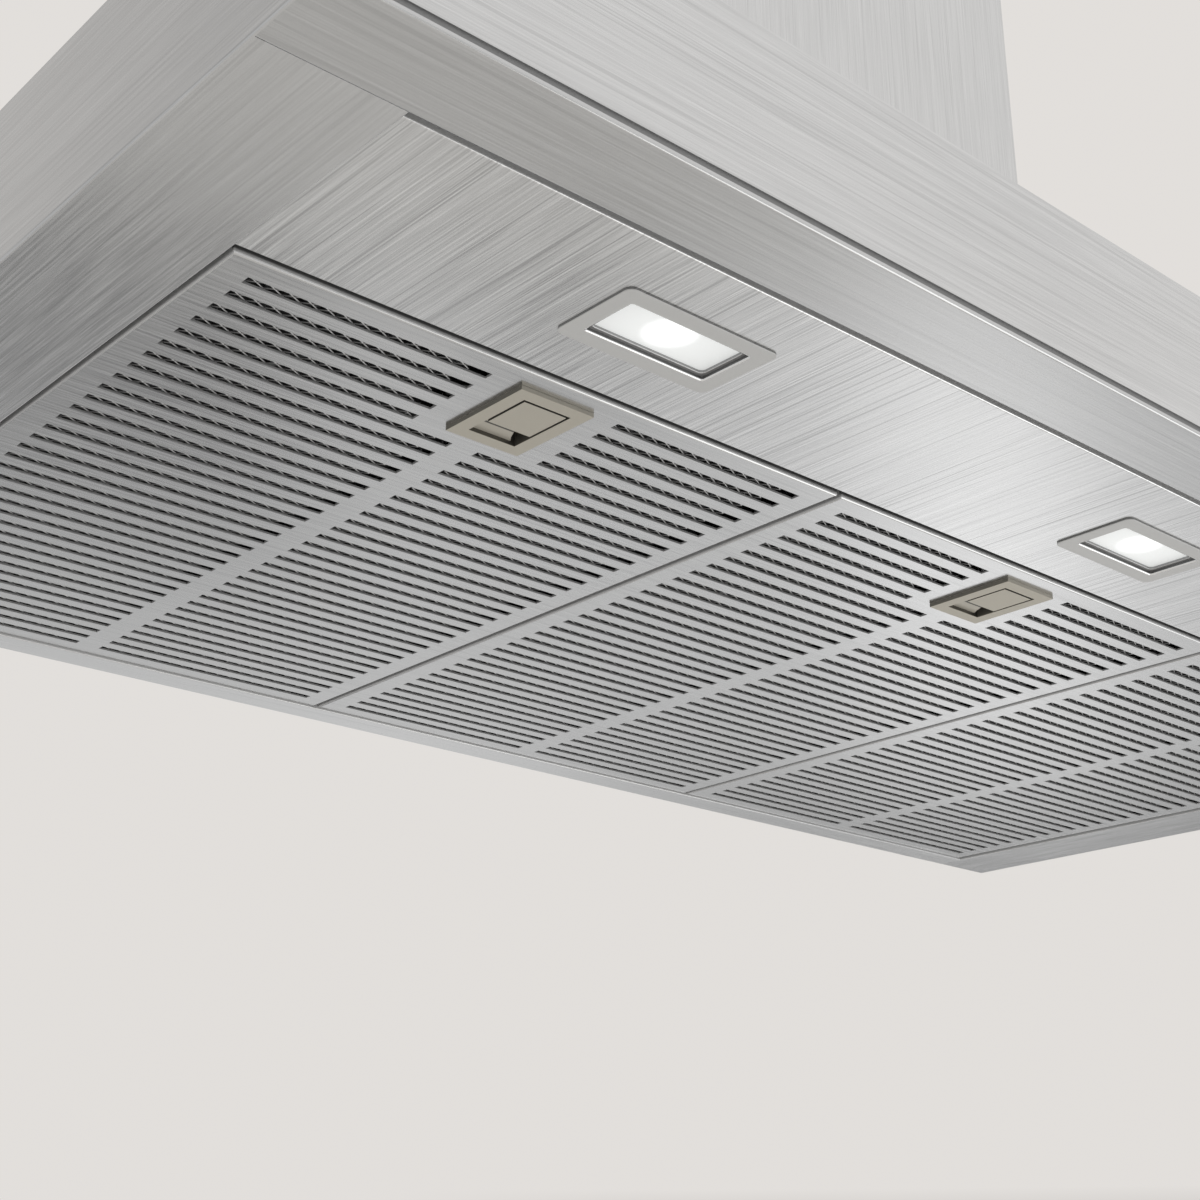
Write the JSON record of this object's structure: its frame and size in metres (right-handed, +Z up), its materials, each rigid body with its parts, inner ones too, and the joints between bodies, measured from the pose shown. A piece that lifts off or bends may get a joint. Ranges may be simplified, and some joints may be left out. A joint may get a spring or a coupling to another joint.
{
  "type": "wall mount range hood",
  "caption": "Wall mount range hood with a box canopy, slotted grease filters on latches, lamps, push buttons, a blower and a telescopic chimney.",
  "frame": {"origin": "on the wall plane, at the middle of the hood's width and level with the underside of the filters", "axes": "+X to the right when facing the wall, +Y into the wall, +Z up"},
  "size_m": [0.898, 0.5, 0.6297],
  "materials": {
    "stainless": "brushed",
    "filter_steel": "fine brushed",
    "filter_mesh": "expanded mesh",
    "galvanised": "galvanised",
    "latch": "satin",
    "spring_steel": "bright",
    "seal": "matt",
    "lamp_trim": "satin grey",
    "lamp_lens": "diffusing",
    "lamp_housing": "die-cast",
    "button": "satin metallic",
    "black_plastic": "moulded",
    "fan_plastic": "moulded",
    "motor": "zinc plated"
  },
  "bodies": {
    "hood": {"rear_rail": "stainless", "side_panel_left": "stainless", "side_panel_right": "stainless", "front_rim": "stainless", "fascia_seal": "seal", "front_fascia": "stainless", "light_panel": "stainless", "top_plate": "stainless", "canopy_screws": "spring_steel", "lamp_bezel_left": "lamp_trim", "lamp_bezel_centre": "lamp_trim", "lamp_bezel_right": "lamp_trim", "lamp_lens_left": "lamp_lens", "lamp_lens_centre": "lamp_lens", "lamp_lens_right": "lamp_lens", "lamp_housing_left": "lamp_housing", "lamp_housing_centre": "lamp_housing", "lamp_housing_right": "lamp_housing", "control_module": "black_plastic", "control_box": "black_plastic", "blower_box": "galvanised", "blower_screws": "spring_steel", "scroll_left": "black_plastic", "scroll_right": "black_plastic", "motor": "motor", "motor_bracket": "galvanised", "outlet_collar": "black_plastic", "flap_pin": "spring_steel", "cable_gland": "black_plastic", "chimney_lower": "stainless"},
    "filter_left": {"filter_cover_left": "filter_steel", "filter_mesh_left": "filter_mesh", "filter_back_left": "galvanised", "latch_bezel_left": "latch", "latch_spring_left": "spring_steel"},
    "filter_centre": {"filter_cover_centre": "filter_steel", "filter_mesh_centre": "filter_mesh", "filter_back_centre": "galvanised", "latch_bezel_centre": "latch", "latch_spring_centre": "spring_steel"},
    "filter_right": {"filter_cover_right": "filter_steel", "filter_mesh_right": "filter_mesh", "filter_back_right": "galvanised", "latch_bezel_right": "latch", "latch_spring_right": "spring_steel"},
    "latch_left": {"latch_slider_left": "latch"},
    "latch_centre": {"latch_slider_centre": "latch"},
    "latch_right": {"latch_slider_right": "latch"},
    "button_1_cap": {"button_1": "button"},
    "button_2_cap": {"button_2": "button"},
    "button_3_cap": {"button_3": "button"},
    "button_4_cap": {"button_4": "button"},
    "button_5_cap": {"button_5": "button"},
    "fan": {"impeller": "fan_plastic", "fan_shaft": "spring_steel"},
    "front_flap": {"flap_front": "fan_plastic"},
    "rear_flap": {"flap_rear": "fan_plastic"},
    "upper_chimney": {"chimney_upper": "stainless", "chimney_bracket": "galvanised"}
  },
  "joints": [
    {"name": "filter_left_swing", "type": "hinge", "parent": "hood", "child": "filter_left", "pos_m": [-0.26717, -0.0175, 0], "axis": [1, 0, 0], "range_deg": [0, 70]},
    {"name": "filter_centre_swing", "type": "hinge", "parent": "hood", "child": "filter_centre", "pos_m": [0, -0.0175, 0], "axis": [1, 0, 0], "range_deg": [0, 70]},
    {"name": "filter_right_swing", "type": "hinge", "parent": "hood", "child": "filter_right", "pos_m": [0.26717, -0.0175, 0], "axis": [1, 0, 0], "range_deg": [0, 70]},
    {"name": "latch_left_slide", "type": "slide", "parent": "filter_left", "child": "latch_left", "axis": [0, 1, 0], "range_m": [0, 0.008], "stiffness_N_per_m": 300, "springref_m": -0.005, "deforming": ["latch_spring_left"]},
    {"name": "latch_centre_slide", "type": "slide", "parent": "filter_centre", "child": "latch_centre", "axis": [0, 1, 0], "range_m": [0, 0.008], "stiffness_N_per_m": 300, "springref_m": -0.005, "deforming": ["latch_spring_centre"]},
    {"name": "latch_right_slide", "type": "slide", "parent": "filter_right", "child": "latch_right", "axis": [0, 1, 0], "range_m": [0, 0.008], "stiffness_N_per_m": 300, "springref_m": -0.005, "deforming": ["latch_spring_right"]},
    {"name": "button_1_press", "type": "slide", "parent": "hood", "child": "button_1_cap", "axis": [0, 1, 0], "range_m": [0, 0.0015], "stiffness_N_per_m": 400, "springref_m": -0.001},
    {"name": "button_2_press", "type": "slide", "parent": "hood", "child": "button_2_cap", "axis": [0, 1, 0], "range_m": [0, 0.0015], "stiffness_N_per_m": 400, "springref_m": -0.001},
    {"name": "button_3_press", "type": "slide", "parent": "hood", "child": "button_3_cap", "axis": [0, 1, 0], "range_m": [0, 0.0015], "stiffness_N_per_m": 400, "springref_m": -0.001},
    {"name": "button_4_press", "type": "slide", "parent": "hood", "child": "button_4_cap", "axis": [0, 1, 0], "range_m": [0, 0.0015], "stiffness_N_per_m": 400, "springref_m": -0.001},
    {"name": "button_5_press", "type": "slide", "parent": "hood", "child": "button_5_cap", "axis": [0, 1, 0], "range_m": [0, 0.0015], "stiffness_N_per_m": 400, "springref_m": -0.001},
    {"name": "fan_spin", "type": "hinge", "parent": "hood", "child": "fan", "pos_m": [0, -0.1229, 0.181], "axis": [1, 0, 0], "continuous": true},
    {"name": "flap_front_swing", "type": "hinge", "parent": "hood", "child": "front_flap", "pos_m": [0, -0.1739, 0.344], "axis": [-1, 0, 0], "range_deg": [0, 80]},
    {"name": "flap_rear_swing", "type": "hinge", "parent": "hood", "child": "rear_flap", "pos_m": [0, -0.1739, 0.344], "axis": [1, 0, 0], "range_deg": [0, 80]},
    {"name": "chimney_extend", "type": "slide", "parent": "hood", "child": "upper_chimney", "axis": [0, 0, 1], "range_m": [0, 0.326]}
  ]
}
